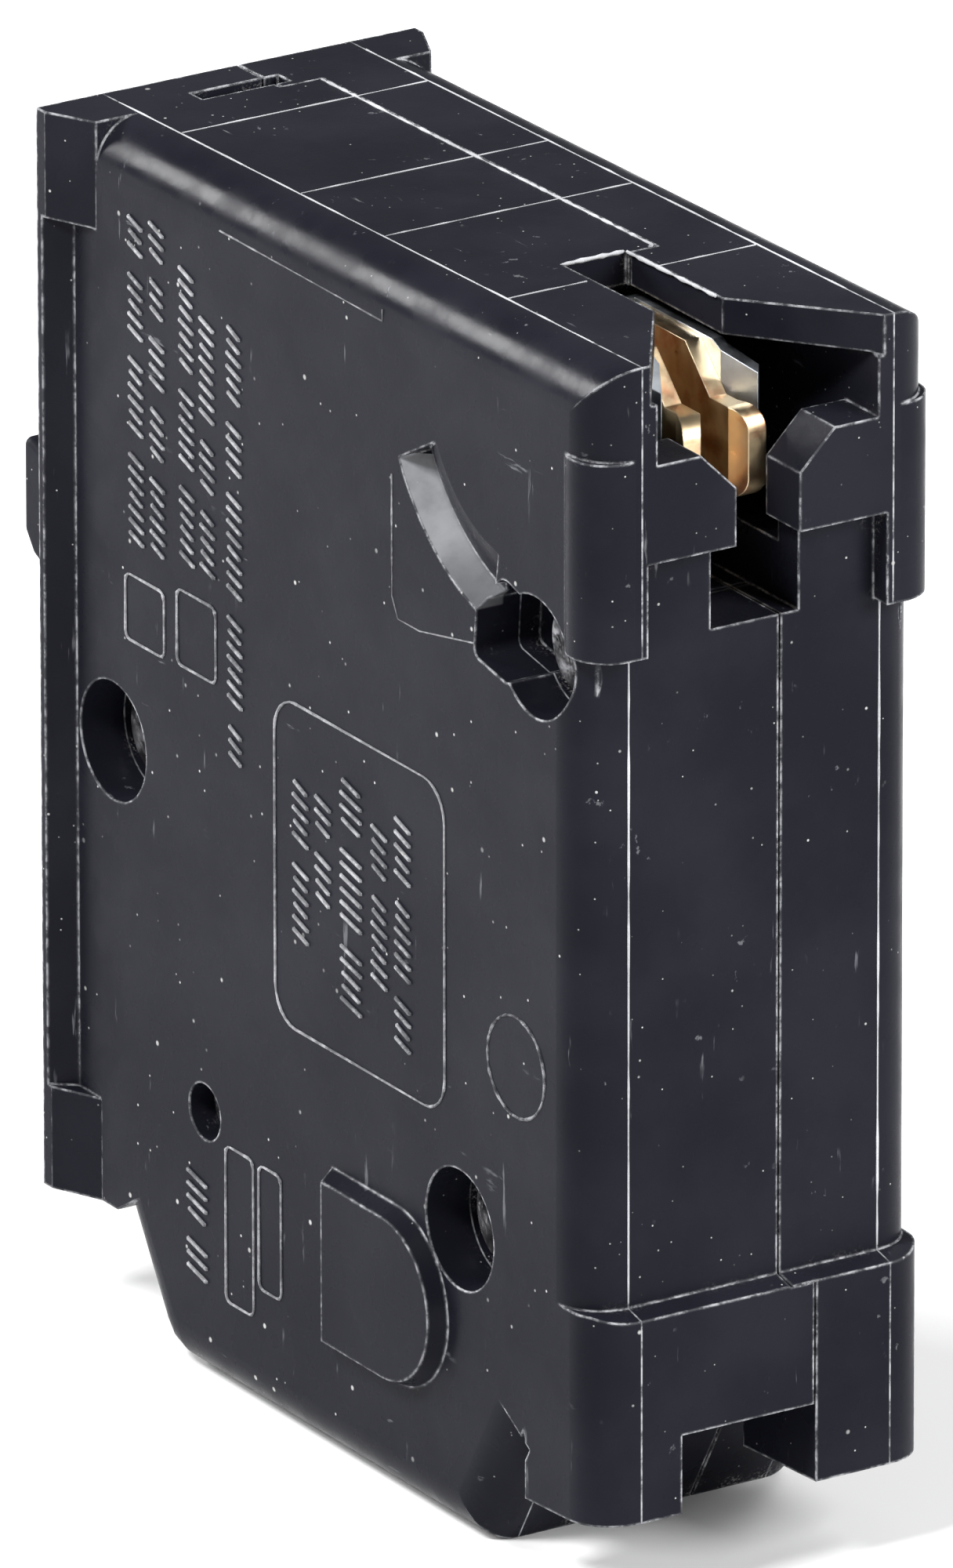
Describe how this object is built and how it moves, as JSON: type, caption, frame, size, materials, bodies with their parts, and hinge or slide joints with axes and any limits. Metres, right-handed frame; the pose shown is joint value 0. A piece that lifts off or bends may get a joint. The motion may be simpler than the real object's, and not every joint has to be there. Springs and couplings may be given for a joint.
{
  "type": "circuit breaker",
  "caption": "Plug-on circuit breaker: riveted black split case, tilting handle, line jaw, contact arm, trip lever and screw terminal.",
  "frame": {"origin": "centre of the bounding box in plan, on the plane of the load end's flat base", "axes": "+Z from the load end up to the line end, +Y from the handle face towards the bus side, +X across the pole"},
  "size_m": [0.0254, 0.0724, 0.0745],
  "materials": {
    "case_plastic": "black moulded thermoset, semi-gloss",
    "handle_plastic": "black moulded, satin",
    "inner_plastic": "brown moulded, satin",
    "fibre": "vulcanised fibre, matt",
    "rivet_steel": "dark oiled steel",
    "plain_steel": "plain steel, satin",
    "spring_steel": "bright spring steel",
    "plated_steel": "zinc plated steel",
    "jaw_copper": "tin-flashed copper, worn",
    "copper": "bare copper",
    "silver": "silver alloy, satin"
  },
  "bodies": {
    "case": {"case_near_half": "case_plastic", "case_far_half": "case_plastic", "case_rivets": "rivet_steel", "fixed_contact": "silver", "line_jaw": "jaw_copper", "jaw_spring": "spring_steel", "arc_plates": "plain_steel", "arc_plate_holder": "fibre", "magnet_yoke": "plain_steel", "bimetal_strip": "spring_steel", "bimetal_facing": "copper", "yoke_spacer": "plain_steel", "load_strap": "copper", "calibration_screw": "plated_steel", "arm_pivot_pin": "rivet_steel", "lever_pivot_pin": "rivet_steel", "armature_pin": "rivet_steel", "operating_spring": "spring_steel", "flexible_braid": "copper"},
    "handle": {"toggle_handle": "handle_plastic"},
    "contact_arm_group": {"contact_carrier": "inner_plastic", "contact_arm": "copper", "moving_contact": "silver"},
    "trip_lever": {"trip_lever": "plain_steel"},
    "armature": {"latch_armature": "plain_steel"},
    "clamp": {"clamp_saddle": "plated_steel"},
    "screw": {"terminal_screw": "plated_steel"}
  },
  "joints": [
    {"name": "handle_tilt", "type": "hinge", "parent": "case", "child": "handle", "pos_m": [0, -0.01555, 0.0364], "axis": [1, 0, 0], "range_deg": [0, 40]},
    {"name": "contact_arm_swing", "type": "hinge", "parent": "case", "child": "contact_arm_group", "pos_m": [0, -0.0026, 0.038], "axis": [1, 0, 0], "range_deg": [0, 24], "deforming": ["operating_spring", "flexible_braid"]},
    {"name": "trip_lever_swing", "type": "hinge", "parent": "case", "child": "trip_lever", "pos_m": [0, 0.0142, 0.047], "axis": [1, 0, 0], "range_deg": [-14, 0]},
    {"name": "armature_tilt", "type": "hinge", "parent": "case", "child": "armature", "pos_m": [0, 0.0086, 0.0132], "axis": [1, 0, 0], "range_deg": [-5, 0]},
    {"name": "clamp_slide", "type": "slide", "parent": "case", "child": "clamp", "axis": [0, 0.8512, 0.5249], "range_m": [0, 0.00238]},
    {"name": "screw_turn", "type": "hinge", "parent": "clamp", "child": "screw", "pos_m": [0, -0.0135, 0.0046], "axis": [0, 0.8512, 0.5249], "range_deg": [0, 1080]}
  ],
  "couplings": [
    {"joint": "contact_arm_swing", "follows": "handle_tilt", "ratio": 0.6},
    {"joint": "armature_tilt", "follows": "trip_lever_swing", "ratio": 0.357},
    {"joint": "screw_turn", "follows": "clamp_slide", "rad_per_m": 7913.3}
  ]
}
